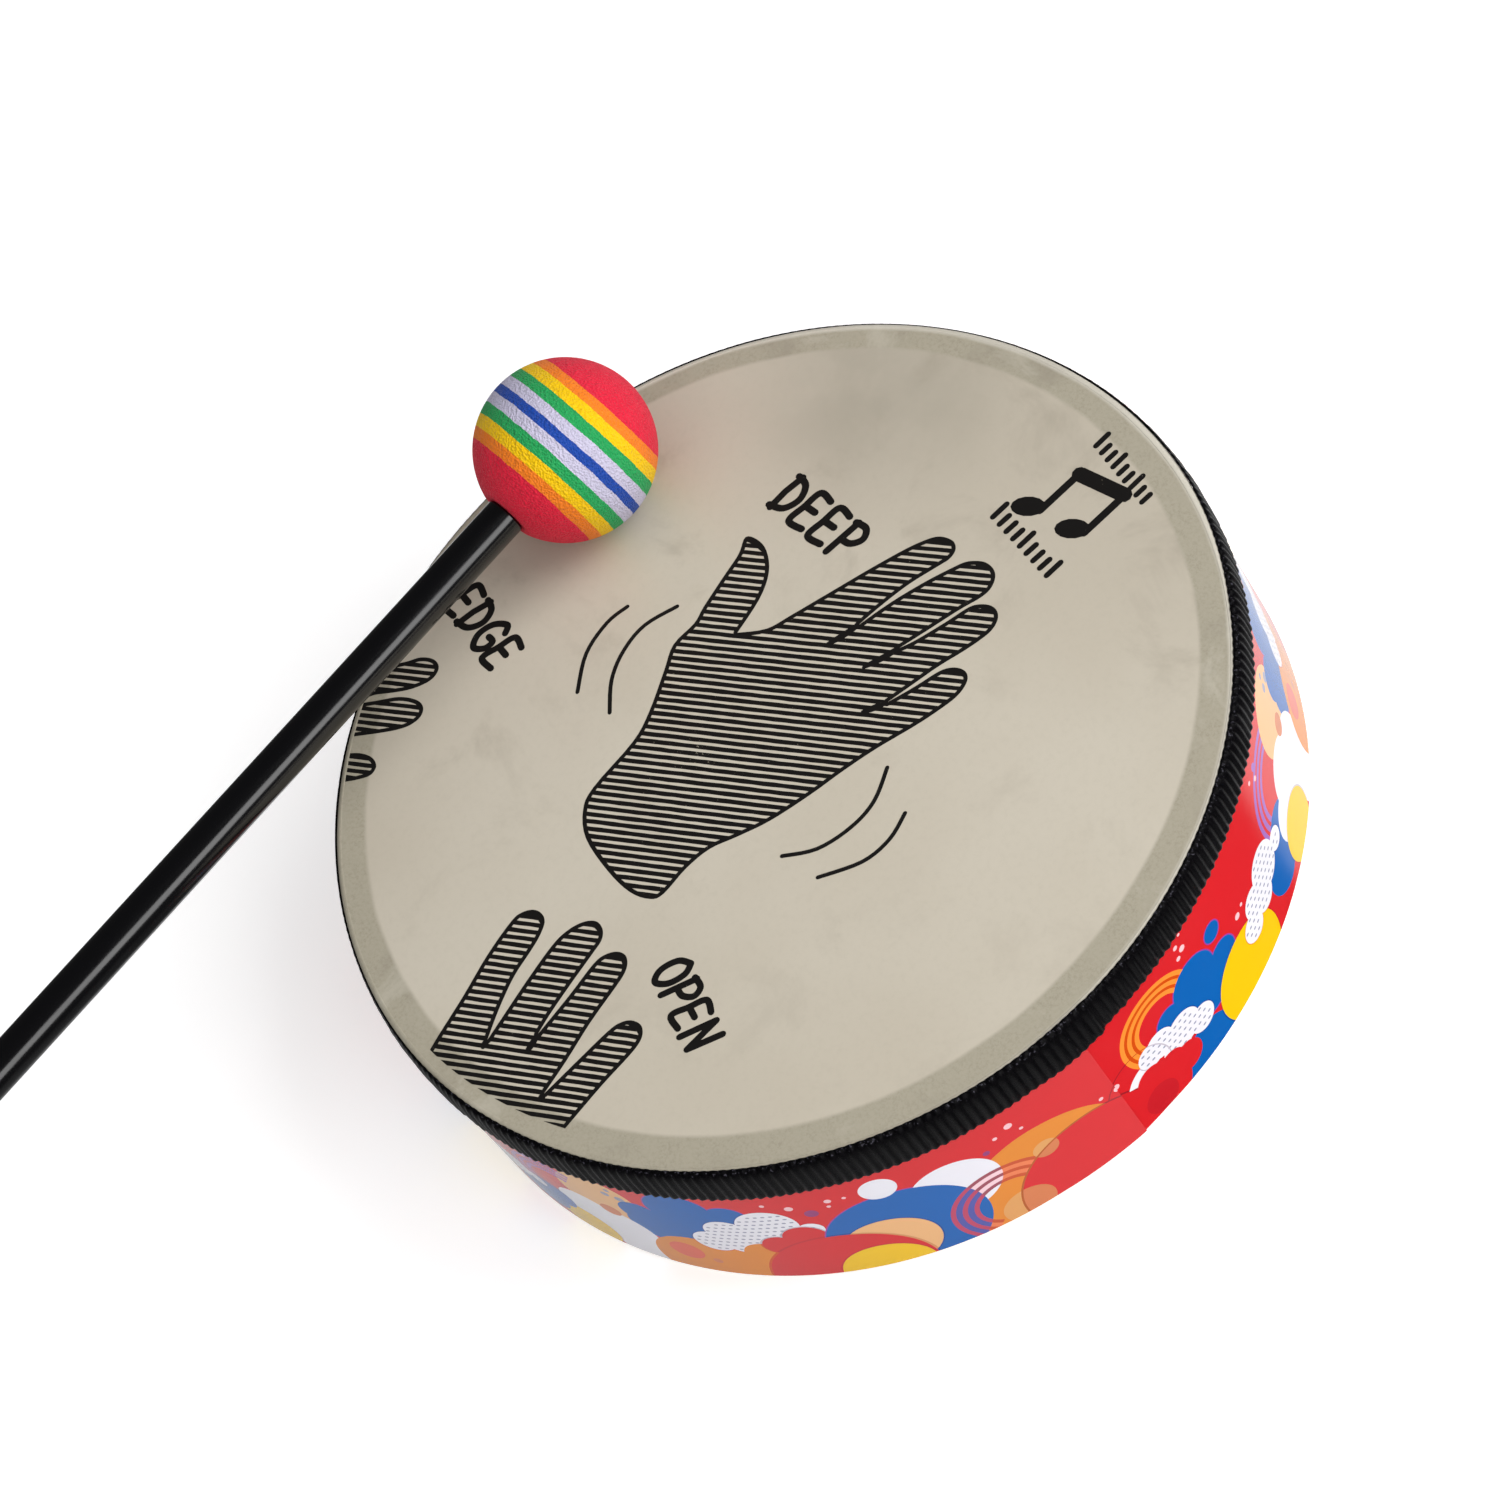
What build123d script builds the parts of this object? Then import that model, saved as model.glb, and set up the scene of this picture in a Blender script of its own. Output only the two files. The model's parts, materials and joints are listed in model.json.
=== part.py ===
"""Ten-inch frame drum with its beater.

The drum is a shallow ring of three bent veneer plies, stiffened at the top by an inner hoop. A thin film
head lies on the bearing edge, turns down over it and is stapled through its skirt. A printed sheet is
wrapped round the shell below the skirt, and a woven ribbon covers the skirt, the staples and the sheet's
top edge. The beater is a plastic tube with a foam ball on a dowel at one end and a cap at the other.

Frame: +Z is the drum's axis, out of the head. The origin is the centre of the open rim, on the plane that
the drum stands on. The beater's ball touches down on the head, and its handle runs out over the rim.
Millimetres throughout.
"""

import os
from math import degrees

from build123d import *

# ---- driving dimensions of the drum -------------------------------------------------------------------
drum_height = 64.5
shell_radius = 126.3  # outside of the outer ply
ply_thickness = 2.1
ply_count = 3
film_thickness = 0.35

shell_height = drum_height - film_thickness
shell_inner_radius = shell_radius - ply_count * ply_thickness

bearing_edge_radius = 1.2  # roundover that the head turns down over
rim_edge_radius = 0.8  # eased edges at the open rim

hoop_thickness = 4.0
hoop_height = 15.0
hoop_ease = 1.0

# ---- seams, as angles about +Z, in degrees ------------------------------------------------------------
wrap_seam_angle = -4.0
ribbon_seam_angle = -1.0
outer_ply_seam_angle = wrap_seam_angle
seam_spread = 120.0  # each ply's joint is a third of a turn from the next
hoop_seam_angle = 60.0
seam_gap = 0.3

# ---- head skirt, wrap and ribbon ----------------------------------------------------------------------
skirt_depth = 11.0
skirt_outer_radius = shell_radius + film_thickness

wrap_thickness = 0.4
wrap_bottom = 0.8
wrap_top = drum_height - skirt_depth - 0.2
wrap_lap = 10.0  # length of the overlap at the seam

ribbon_width = 12.7
ribbon_thickness = 0.75
ribbon_inner_radius = skirt_outer_radius + 0.62  # stands off the skirt by the staple crowns
ribbon_top = drum_height - 0.2
ribbon_bottom = ribbon_top - ribbon_width
ribbon_lap = 12.0

# ---- staples ------------------------------------------------------------------------------------------
staple_count = 24
staple_crown = 10.0
staple_leg = 4.5  # through the skirt and the outer ply, and into the core ply
staple_wire_width = 1.2
staple_wire_thickness = 0.5
staple_height = drum_height - 6.0

# ---- beater -------------------------------------------------------------------------------------------
ball_radius = 25.0
ball_clearance = 0.4  # gap between the ball and the head at rest
ball_x = -97.2
ball_y = 19.4
ball_z = drum_height + ball_clearance + ball_radius
ball_flat_offset = 23.6  # the foam is pressed flat where the handle's shoulder meets it
handle_turn = 2.8  # degrees that the handle leans from -Y towards +X

handle_radius = 5.7
handle_bore_radius = 4.0
handle_length = 255.0
handle_edge = 0.5

plug_radius = handle_bore_radius - 0.05  # of the dowel and the cap's stem, in the handle's bore
dowel_in_ball = 30.0
dowel_in_handle = 35.0

cap_stem_length = 12.0
cap_height = 5.0
cap_rounding = 4.0

os.makedirs("parts", exist_ok=True)


def write(builder, name):
    """Labels a finished piece and writes it as parts/NAME.step."""
    builder.part.label = name
    export_step(builder.part, f"parts/{name}.step")


def cut_seam(radius, height, angle):
    """Cuts a narrow straight joint through a ring, at an angle about +Z."""
    with PolarLocations(radius, 1, start_angle=angle):
        Box(4 * ply_thickness, seam_gap, 3 * height, mode=Mode.SUBTRACT)


# ---- staples through the skirt, one node of separate solids; the pieces that they go through are cut --
crown_outer = skirt_outer_radius + staple_wire_thickness
leg_centre = (staple_crown - staple_wire_width) / 2

with BuildPart() as head_staples:
    with PolarLocations(crown_outer, staple_count, start_angle=360 / staple_count / 2):
        with Locations((0, 0, staple_height)):
            Box(
                staple_wire_thickness,
                staple_crown,
                staple_wire_width,
                align=(Align.MAX, Align.CENTER, Align.CENTER),
            )
            with Locations((0, -leg_centre, 0), (0, leg_centre, 0)):
                Box(
                    staple_leg,
                    staple_wire_width,
                    staple_wire_width,
                    align=(Align.MAX, Align.CENTER, Align.CENTER),
                )
write(head_staples, "head_staples")


# ---- shell plies, from the outside in -----------------------------------------------------------------
def make_ply(index):
    """One bent veneer ring. The outer ply carries the bearing edge, and both faces are eased at the rim."""
    outer = shell_radius - index * ply_thickness
    inner = outer - ply_thickness
    with BuildPart() as ply:
        with BuildSketch():
            Circle(outer)
            Circle(inner, mode=Mode.SUBTRACT)
        extrude(amount=shell_height)
        if index == 0:
            top_outer_edge = ply.edges().group_by(Axis.Z)[-1].sort_by(SortBy.RADIUS)[-1]
            fillet(top_outer_edge, radius=bearing_edge_radius)
            rim_edge = ply.edges().group_by(Axis.Z)[0].sort_by(SortBy.RADIUS)[-1]
            fillet(rim_edge, radius=rim_edge_radius)
        if index == ply_count - 1:
            rim_edge = ply.edges().group_by(Axis.Z)[0].sort_by(SortBy.RADIUS)[0]
            fillet(rim_edge, radius=rim_edge_radius)
        cut_seam((outer + inner) / 2, shell_height, outer_ply_seam_angle + index * seam_spread)
        if index < ply_count - 1:
            add(head_staples.part, mode=Mode.SUBTRACT)
    return ply


for ply_index, ply_name in enumerate(("outer_ply", "core_ply", "inner_ply")):
    write(make_ply(ply_index), ply_name)

# ---- inner hoop that backs the bearing edge -----------------------------------------------------------
with BuildPart() as bearing_hoop:
    with BuildSketch(Plane.XY.offset(shell_height - hoop_height)):
        Circle(shell_inner_radius)
        Circle(shell_inner_radius - hoop_thickness, mode=Mode.SUBTRACT)
    extrude(amount=hoop_height)
    top_inner_edge = bearing_hoop.edges().group_by(Axis.Z)[-1].sort_by(SortBy.RADIUS)[0]
    fillet(top_inner_edge, radius=hoop_ease)
    bottom_inner_edge = bearing_hoop.edges().group_by(Axis.Z)[0].sort_by(SortBy.RADIUS)[0]
    chamfer(bottom_inner_edge, length=hoop_ease)
    cut_seam(shell_inner_radius - hoop_thickness / 2, shell_height, hoop_seam_angle)
write(bearing_hoop, "bearing_hoop")

# ---- film head: a flat disc that turns down into a skirt ----------------------------------------------
turn_centre_radius = shell_radius - bearing_edge_radius
turn_centre_height = shell_height - bearing_edge_radius
turn_outer_radius = bearing_edge_radius + film_thickness
skirt_bottom = drum_height - skirt_depth

with BuildPart() as drum_head:
    with BuildSketch(Plane.XZ):
        with BuildLine():
            Polyline((0, shell_height), (0, drum_height), (turn_centre_radius, drum_height))
            CenterArc((turn_centre_radius, turn_centre_height), turn_outer_radius, 0, 90)
            Polyline(
                (skirt_outer_radius, turn_centre_height),
                (skirt_outer_radius, skirt_bottom),
                (shell_radius, skirt_bottom),
                (shell_radius, turn_centre_height),
            )
            CenterArc((turn_centre_radius, turn_centre_height), bearing_edge_radius, 0, 90)
            Line((turn_centre_radius, shell_height), (0, shell_height))
        make_face()
    revolve(axis=Axis.Z)
    add(head_staples.part, mode=Mode.SUBTRACT)
write(drum_head, "drum_head")

# ---- sheets that go round the shell and lap over themselves -------------------------------------------
def make_band(inner, thickness, bottom, top, lap, lap_top, seam_angle):
    """A closed band with a second thickness over the lap, which runs from the seam towards -angle."""
    outer = inner + thickness
    with BuildPart() as band:
        with BuildSketch(Plane.XY.offset(bottom)):
            Circle(outer)
            Circle(inner, mode=Mode.SUBTRACT)
        extrude(amount=top - bottom)
        with BuildSketch(Plane.XZ.rotated((0, 0, seam_angle))):
            with Locations((outer, (bottom + lap_top) / 2)):
                Rectangle(2 * thickness, lap_top - bottom)
        revolve(axis=Axis.Z, revolution_arc=-degrees(lap / outer))
    return band


printed_wrap = make_band(
    shell_radius, wrap_thickness, wrap_bottom, wrap_top, wrap_lap, ribbon_bottom - 0.2, wrap_seam_angle
)
write(printed_wrap, "printed_wrap")

edge_ribbon = make_band(
    ribbon_inner_radius, ribbon_thickness, ribbon_bottom, ribbon_top, ribbon_lap, ribbon_top, ribbon_seam_angle
)
write(edge_ribbon, "edge_ribbon")

# ---- beater, built along its own axis: +Z of this plane runs from the ball down the handle ------------
beater_plane = Plane(
    origin=(ball_x, ball_y, ball_z),
    x_dir=(0, 0, 1),
    z_dir=Vector(0, -1, 0).rotate(Axis.Z, handle_turn),
)


def along_beater(distance):
    """The plane across the beater at a distance from the ball's centre towards the handle's end."""
    return beater_plane.offset(distance)


handle_start = ball_flat_offset
handle_end = handle_start + handle_length

with BuildPart() as beater_ball:
    with Locations(beater_plane):
        Sphere(ball_radius)
    split(bisect_by=along_beater(ball_flat_offset), keep=Keep.BOTTOM)
    with BuildSketch(along_beater(ball_flat_offset)):
        Circle(handle_bore_radius)
    extrude(amount=-dowel_in_ball, mode=Mode.SUBTRACT)
write(beater_ball, "beater_ball")

with BuildPart() as beater_dowel:
    with BuildSketch(along_beater(handle_start - dowel_in_ball)):
        Circle(plug_radius)
    extrude(amount=dowel_in_ball + dowel_in_handle)
write(beater_dowel, "beater_dowel")

with BuildPart() as beater_handle:
    with BuildSketch(along_beater(handle_start)):
        Circle(handle_radius)
        Circle(handle_bore_radius, mode=Mode.SUBTRACT)
    extrude(amount=handle_length)
    outer_edges = beater_handle.edges().filter_by(GeomType.CIRCLE).group_by(SortBy.RADIUS)[-1]
    fillet(outer_edges, radius=handle_edge)
write(beater_handle, "beater_handle")

with BuildPart() as beater_end_cap:
    with BuildSketch(along_beater(handle_end - cap_stem_length)):
        Circle(plug_radius)
    extrude(amount=cap_stem_length)
    with BuildSketch(along_beater(handle_end)):
        Circle(handle_radius)
    extrude(amount=cap_height)
    far_edge = beater_end_cap.edges().filter_by(GeomType.CIRCLE).sort_by_distance(
        along_beater(handle_end + cap_height).origin
    )[0]
    fillet(far_edge, radius=cap_rounding)
write(beater_end_cap, "beater_end_cap")
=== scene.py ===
"""Visual model of the frame drum and its beater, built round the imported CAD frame. Metres throughout.

The head's print and the shell's wrap are flat drawings, cut into triangles along the outlines of their
shapes, so that each colour is its own face with a crisp edge at any distance. The ribbon, the film's bend
and the foam ball are meshes. Everything else is the CAD's own nodes with better materials.
"""

import json
import math
import random

import bpy
import numpy as np
from mathutils import Matrix, Vector
from mathutils.geometry import delaunay_2d_cdt


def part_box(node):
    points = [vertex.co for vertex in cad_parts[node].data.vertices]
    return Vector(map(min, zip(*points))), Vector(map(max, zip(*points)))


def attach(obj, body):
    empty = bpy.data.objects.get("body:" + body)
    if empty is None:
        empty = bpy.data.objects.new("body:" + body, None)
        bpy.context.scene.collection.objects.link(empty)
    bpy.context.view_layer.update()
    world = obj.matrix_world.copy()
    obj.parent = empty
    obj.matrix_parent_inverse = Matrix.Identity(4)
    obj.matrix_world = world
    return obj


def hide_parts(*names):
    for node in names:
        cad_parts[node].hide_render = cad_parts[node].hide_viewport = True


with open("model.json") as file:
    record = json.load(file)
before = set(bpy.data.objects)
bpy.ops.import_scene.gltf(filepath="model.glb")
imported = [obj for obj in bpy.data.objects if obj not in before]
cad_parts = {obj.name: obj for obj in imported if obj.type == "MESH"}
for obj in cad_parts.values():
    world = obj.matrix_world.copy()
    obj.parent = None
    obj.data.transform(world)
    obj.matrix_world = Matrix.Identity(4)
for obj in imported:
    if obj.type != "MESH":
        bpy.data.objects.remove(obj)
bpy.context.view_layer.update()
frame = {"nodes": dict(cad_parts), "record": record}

MM = 0.001

# ---- what the frame says ------------------------------------------------------------------------------
head_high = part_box("drum_head")[1]
ball_low, ball_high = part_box("beater_ball")

# sizes that the boxes don't give, as the CAD has them
HOOP_THICKNESS = 4.0 * MM
FILM_THICKNESS = 0.35 * MM
BEARING_EDGE_R = 1.2 * MM
WRAP_THICKNESS = 0.4 * MM
HANDLE_LENGTH = 255.0 * MM

HEAD_TOP = head_high.z
SHELL_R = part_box("outer_ply")[1].x
SKIRT_R = head_high.x
HOOP_INNER_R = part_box("bearing_hoop")[1].x - HOOP_THICKNESS
BALL_R = (ball_high.z - ball_low.z) / 2
BALL_CENTRE = Vector((ball_low.x + BALL_R, ball_high.y - BALL_R, ball_low.z + BALL_R))

# the handle's pin mount lies on its axis, and the mount's axis points from the ball to the far end
handle_mount = next(m for m in frame["record"]["mounts"] if m["name"] == "beater_handle")
HANDLE_AXIS = Vector(handle_mount["axis"]).normalized()
HANDLE_START = (Vector(handle_mount["pos_m"]) - BALL_CENTRE).dot(HANDLE_AXIS) - HANDLE_LENGTH / 2
# the foam was cut a little askew to its stripes
STRIPE_AXIS = (HANDLE_AXIS + Vector((-0.0479, 0.0126, -0.0864))).normalized()

WORN_SPOT = Vector((-13.0 * MM, -17.0 * MM, HEAD_TOP))  # where the palm's print has lost some of its ink


# ==== Small helpers ====
def srgb(red, green, blue):
    """A linear RGBA colour from 0-255 sRGB values."""

    def linear(value):
        value /= 255
        return value / 12.92 if value <= 0.04045 else ((value + 0.055) / 1.055) ** 2.4

    return (linear(red), linear(green), linear(blue), 1.0)


def make_object(name, points, faces, materials, face_materials=None, smooth=True):
    """A mesh object from points in metres."""
    mesh = bpy.data.meshes.new(name)
    mesh.from_pydata([tuple(p) for p in points], [], faces)
    for material in materials:
        mesh.materials.append(material)
    if face_materials is not None:
        mesh.polygons.foreach_set("material_index", face_materials)
    mesh.polygons.foreach_set("use_smooth", [smooth] * len(mesh.polygons))
    mesh.validate()
    mesh.update()
    obj = bpy.data.objects.new(name, mesh)
    bpy.context.scene.collection.objects.link(obj)
    return obj


# ==== Materials ====
class Nodes:
    """A short way to write the node tree of a material or a world."""

    def __init__(self, owner, shader="Principled BSDF", place="Object"):
        owner.use_nodes = True
        self.owner = owner
        self.tree = owner.node_tree
        self.shader = self.tree.nodes[shader]
        self.place = self.add("ShaderNodeTexCoord").outputs[place]

    def plug(self, socket, value):
        """Links a socket to a value that is another node's output, or sets it to a constant."""
        if isinstance(value, bpy.types.NodeSocket):
            self.tree.links.new(value, socket)
        else:
            socket.default_value = value

    def add(self, kind, inputs=(), **settings):
        node = self.tree.nodes.new(kind)
        for key, value in settings.items():
            setattr(node, key, value)
        for key, value in dict(inputs).items():
            self.plug(node.inputs[key], value)
        return node

    def set(self, **values):
        """Sets or links the shader's own sockets, written with _ for each space."""
        for key, value in values.items():
            self.plug(self.shader.inputs[key.replace("_", " ")], value)

    def stretched(self, *scale):
        """The place, scaled along each axis, for grain and scratches."""
        return self.add("ShaderNodeMapping", {"Vector": self.place, "Scale": scale}).outputs[0]

    def noise(self, scale, detail=3.0, roughness=0.55, vector=None, distortion=0.0):
        inputs = {
            "Vector": vector or self.place,
            "Scale": scale,
            "Detail": detail,
            "Roughness": roughness,
            "Distortion": distortion,
        }
        return self.add("ShaderNodeTexNoise", inputs).outputs["Fac"]

    def waver(self, scale, reach):
        """A small length that wanders either side of nothing."""
        return self.math("MULTIPLY", self.math("SUBTRACT", self.noise(scale, 2), 0.5), reach)

    def ramp(self, value, low, high, to_low=0.0, to_high=1.0, smooth=True):
        inputs = {"Value": value, "From Min": low, "From Max": high, "To Min": to_low, "To Max": to_high}
        kind = "SMOOTHSTEP" if smooth else "LINEAR"
        return self.add("ShaderNodeMapRange", inputs, interpolation_type=kind).outputs["Result"]

    def mix(self, amount, first, second):
        """Two colours mixed. A mix node's colour sockets are its inputs 6 and 7 and its output 2."""
        return self.add("ShaderNodeMix", {0: amount, 6: first, 7: second}, data_type="RGBA").outputs[2]

    def math(self, operation, first, second=0.0):
        return self.add("ShaderNodeMath", {0: first, 1: second}, operation=operation).outputs[0]

    def vector(self, operation, first, second=(0, 0, 0), output="Vector"):
        inputs = {0: first, 1: second}
        return self.add("ShaderNodeVectorMath", inputs, operation=operation).outputs[output]

    def axis(self, name):
        """The place along one axis."""
        return self.add("ShaderNodeSeparateXYZ", {"Vector": self.place}).outputs[name]

    def bump(self, height, strength, distance):
        inputs = {"Height": height, "Strength": strength, "Distance": distance}
        self.set(Normal=self.add("ShaderNodeBump", inputs).outputs["Normal"])


def new_material(name):
    return Nodes(bpy.data.materials.new(name))


def head_film():
    """Cream coated film, darker where the hoop shows through and mottled, with painted shade greying it
    towards the far side and a painted highlight just inside its bend.
    """
    m = new_material("head_film")

    def radius_from(x, y):
        """The distance from an upright line at a point in metres."""
        flat = m.vector("SUBTRACT", m.vector("MULTIPLY", m.place, (1, 1, 0)), (x, y, 0))
        return m.vector("LENGTH", flat, output="Value")

    wander = m.waver(22, 1.6 * MM)

    base = m.mix(m.ramp(m.noise(9, 3), 0.35, 0.7), srgb(207, 199, 183), srgb(200, 191, 174))
    # painted shade: the head is painted greyer the farther it lies from a point on the near side, as the
    # light falls off towards the far side
    far_shade = m.ramp(radius_from(60 * MM, -50 * MM), 90 * MM, 170 * MM)
    base = m.mix(m.math("MULTIPLY", far_shade, 0.55), base, srgb(188, 179, 163))
    # and there is a grey cloud near the edge beyond the printed fingers
    smear = m.ramp(radius_from(-55 * MM, 92 * MM), 52 * MM, 6 * MM, 0.0, 0.75)
    smear = m.math("MULTIPLY", smear, m.ramp(m.noise(26, 4, 0.6), 0.3, 0.6, 0.45, 1.0))
    base = m.mix(smear, base, srgb(168, 161, 146))
    cloud = m.ramp(m.noise(30, 5, 0.66, distortion=0.4), 0.5, 0.72)
    # the mottling is weighted by the same painted far-side shade
    amount = m.math("MULTIPLY", cloud, m.ramp(far_shade, 0.0, 1.0, 0.25, 0.8))
    base = m.mix(amount, base, srgb(172, 163, 147))
    fibres = m.ramp(m.noise(420, 4, 0.7), 0.42, 0.75, 0.0, 0.12)
    base = m.mix(fibres, base, srgb(176, 168, 150))

    weave = m.ramp(m.noise(900, 4, 0.75), 0.4, 0.7, 0.0, 0.5)
    weave = m.math("MULTIPLY", weave, m.ramp(m.noise(140, 3), 0.35, 0.65, 0.5, 1.2))
    band = m.mix(weave, srgb(175, 168, 150), srgb(150, 142, 124))
    band = m.mix(m.ramp(m.noise(45, 4, 0.6), 0.5, 0.75, 0.0, 0.5), band, srgb(150, 142, 127))
    rubbed = m.ramp(m.noise(32, 5, 0.7, distortion=0.6), 0.46, 0.3, 0.0, 0.6)
    band = m.mix(rubbed, band, srgb(194, 188, 172))
    # the hoop's mark is a little off the drum's centre
    mark = m.math("ADD", radius_from(-1.5 * MM, 0.4 * MM), wander)
    colour = m.mix(m.ramp(mark, HOOP_INNER_R + 0.6 * MM, HOOP_INNER_R + 2.2 * MM), base, band)
    # painted highlight: the film just inside the bend is painted paler than the band, most so towards +Y,
    # where the side light falls
    edge_highlight = m.ramp(m.math("ADD", radius_from(0, 0), wander), SHELL_R - 2.4 * MM, SHELL_R - 1.2 * MM)
    edge_highlight = m.math("MULTIPLY", edge_highlight, m.ramp(m.axis("Y"), -80 * MM, 60 * MM, 0.0, 0.6))
    colour = m.mix(edge_highlight, colour, srgb(222, 217, 205))

    m.set(Base_Color=colour, Roughness=m.ramp(m.noise(60, 4), 0.3, 0.7, 0.42, 0.55))
    m.set(Specular_IOR_Level=0.35)
    m.bump(m.noise(1400, 4, 0.65), 0.12, 0.0002)
    return m.owner


def printing_ink():
    """Matte black screen ink, thin enough in places to show pinholes."""
    m = new_material("printing_ink")
    from_spot = m.vector("DISTANCE", m.place, WORN_SPOT, "Value")
    wear = m.math("ADD", m.noise(1500, 2, 0.6), m.ramp(from_spot, 0.0, 9 * MM, 0.12, 0.0))
    worn = m.ramp(wear, 0.73, 0.78, 0.0, 0.7)
    m.set(Base_Color=m.mix(worn, srgb(20, 18, 17), srgb(150, 142, 128)), Roughness=0.6)
    m.set(Specular_IOR_Level=0.25)
    m.bump(m.noise(2500, 3), 0.15, 0.0001)
    return m.owner


def gloss_print(name, colour):
    """One colour of the shell's printed sheet, under a clear gloss film with faint handling marks."""
    m = new_material(name)
    smudge = m.ramp(m.noise(35, 5, 0.6), 0.35, 0.75, 0.07, 0.16)
    m.set(Base_Color=colour, Roughness=smudge, Specular_IOR_Level=0.5)
    m.bump(m.noise(110, 2), 0.05, 0.0006)
    return m.owner


def paper_back():
    """White back and cut edges of the printed sheet."""
    m = new_material("sheet_back")
    m.set(Base_Color=m.mix(m.noise(300, 3), srgb(236, 233, 226), srgb(214, 210, 200)), Roughness=0.7)
    m.bump(m.noise(1800, 3), 0.2, 0.0001)
    return m.owner


def ribbon_weave():
    """Black grosgrain: fine dull threads, and pale thread specks, partly painted highlights, that crowd along
    the upper selvedge.
    """
    m = new_material("ribbon_weave")
    threads = m.noise(2600, 3, 0.6)
    colour = m.mix(m.ramp(threads, 0.35, 0.75), srgb(4, 4, 5), srgb(16, 14, 17))
    selvedge = m.ramp(m.axis("Z"), HEAD_TOP - 0.9 * MM, HEAD_TOP - 0.2 * MM, 0.0, 0.12)
    # pale thread specks, partly stitches and partly painted highlights on the threads, thickest along the
    # upper selvedge
    specks_and_glints = m.math("ADD", m.noise(1300, 2), selvedge)
    colour = m.mix(m.ramp(specks_and_glints, 0.7, 0.8, 0.0, 0.5), colour, srgb(84, 82, 92))
    m.set(Base_Color=colour, Roughness=0.3, Specular_IOR_Level=0.06)
    m.bump(threads, 0.45, 0.0003)
    return m.owner


def striped_foam():
    """Skinned foam cut from laminated coloured sheets. Its stripes lie nearly square to the handle."""
    m = new_material("striped_foam")
    from_centre = m.vector("SUBTRACT", m.place, BALL_CENTRE)
    depth = m.vector("DOT_PRODUCT", from_centre, -STRIPE_AXIS, "Value")
    wobble, fuzz = m.waver(160, 0.7 * MM), m.waver(2400, 0.5 * MM)
    along = m.math("ADD", depth, m.math("ADD", wobble, fuzz))
    across = m.ramp(along, -BALL_R, BALL_R, smooth=False)

    crimson, orange, yellow = srgb(236, 34, 64), srgb(255, 134, 34), srgb(255, 206, 8)
    green, lavender, blue = srgb(40, 168, 92), srgb(208, 203, 228), srgb(32, 76, 172)
    # how far each colour reaches on either side of the middle of the blue stripe
    middle = 0.3 * MM
    reaches = ((1.35, blue), (4.65, lavender), (8.0, green), (11.3, yellow), (14.2, orange), (25.0, crimson))
    stops = []
    for index, (reach, colour) in enumerate(reaches):
        inner = reaches[index - 1][0] if index else 0.0
        stops.append((middle + inner * MM, colour))
        stops.append((middle - reach * MM, colour))
    ramp = m.add("ShaderNodeValToRGB", {"Fac": across})
    ramp.color_ramp.interpolation = "CONSTANT"
    elements = ramp.color_ramp.elements
    elements.remove(elements[0])
    for index, (start, colour) in enumerate(sorted(stops, key=lambda stop: stop[0])):
        position = max(0.0, (start + BALL_R) / (2 * BALL_R))
        element = elements[0] if index == 0 else elements.new(position)
        element.position = position
        element.color = colour

    cells = m.add("ShaderNodeTexVoronoi", {"Vector": m.place, "Scale": 1500.0}).outputs["Distance"]
    pale = m.ramp(m.noise(2200, 3, 0.7), 0.45, 0.8, 0.0, 0.06)
    m.set(Base_Color=m.mix(pale, ramp.outputs["Color"], srgb(255, 225, 225)), Roughness=0.8)
    m.set(Sheen_Weight=0.06, Sheen_Roughness=0.4, Specular_IOR_Level=0.15)
    grain = m.noise(1500, 3, 0.6)
    m.bump(m.math("ADD", cells, grain), 0.8, 0.0007)
    return m.owner


def black_handle():
    """Extruded gloss black plastic with fine scratches along the tube."""
    m = new_material("black_handle")
    scratches = m.noise(1.0, 4, 0.6, vector=m.stretched(900, 25, 900))
    m.set(Base_Color=srgb(4, 4, 6), Roughness=m.ramp(scratches, 0.4, 0.75, 0.17, 0.22))
    m.set(Specular_IOR_Level=0.7)
    m.bump(scratches, 0.012, 0.0002)
    return m.owner


def laminated_ply(name, light, dark):
    """Bent veneer: grain that runs round the shell, with thin dark pores."""
    m = new_material(name)
    grain = m.noise(1.0, 6, 0.65, vector=m.stretched(24, 24, 520))
    colour = m.mix(m.ramp(grain, 0.3, 0.7), dark, light)
    pores = m.noise(1.0, 3, 0.5, vector=m.stretched(90, 90, 2600))
    colour = m.mix(m.ramp(pores, 0.62, 0.72, 0.0, 0.45), colour, srgb(70, 48, 30))
    m.set(Base_Color=colour, Roughness=m.ramp(grain, 0.3, 0.7, 0.62, 0.5))
    m.bump(m.math("SUBTRACT", grain, pores), 0.2, 0.0003)
    return m.owner


def turned_wood():
    m = new_material("turned_wood")
    grain = m.noise(1.0, 5, 0.6, vector=m.stretched(700, 30, 700))
    m.set(Base_Color=m.mix(grain, srgb(206, 172, 122), srgb(170, 130, 84)), Roughness=0.6)
    return m.owner


def staple_steel():
    m = new_material("staple_steel")
    m.set(Base_Color=srgb(190, 190, 186), Metallic=1.0)
    m.set(Roughness=m.ramp(m.noise(900, 3), 0.3, 0.7, 0.25, 0.45))
    return m.owner


def cap_rubber():
    m = new_material("cap_rubber")
    m.set(Base_Color=m.mix(m.noise(500, 3), srgb(20, 20, 21), srgb(34, 34, 36)), Roughness=0.6)
    m.bump(m.noise(1600, 3), 0.2, 0.0002)
    return m.owner


# ==== Flat drawings. Points and lengths are in millimetres ====
def arc_points(centre, radius, start, end, step=6.0):
    """Points along an arc, with angles in degrees and a point about every step degrees."""
    count = max(2, round(abs(end - start) / step))
    angles = [math.radians(start + (end - start) * i / count) for i in range(count + 1)]
    return [(centre[0] + radius * math.cos(a), centre[1] + radius * math.sin(a)) for a in angles]


def circle(centre, radius, step=6.0):
    return arc_points(centre, radius, 0, 360, step)[:-1]


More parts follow.
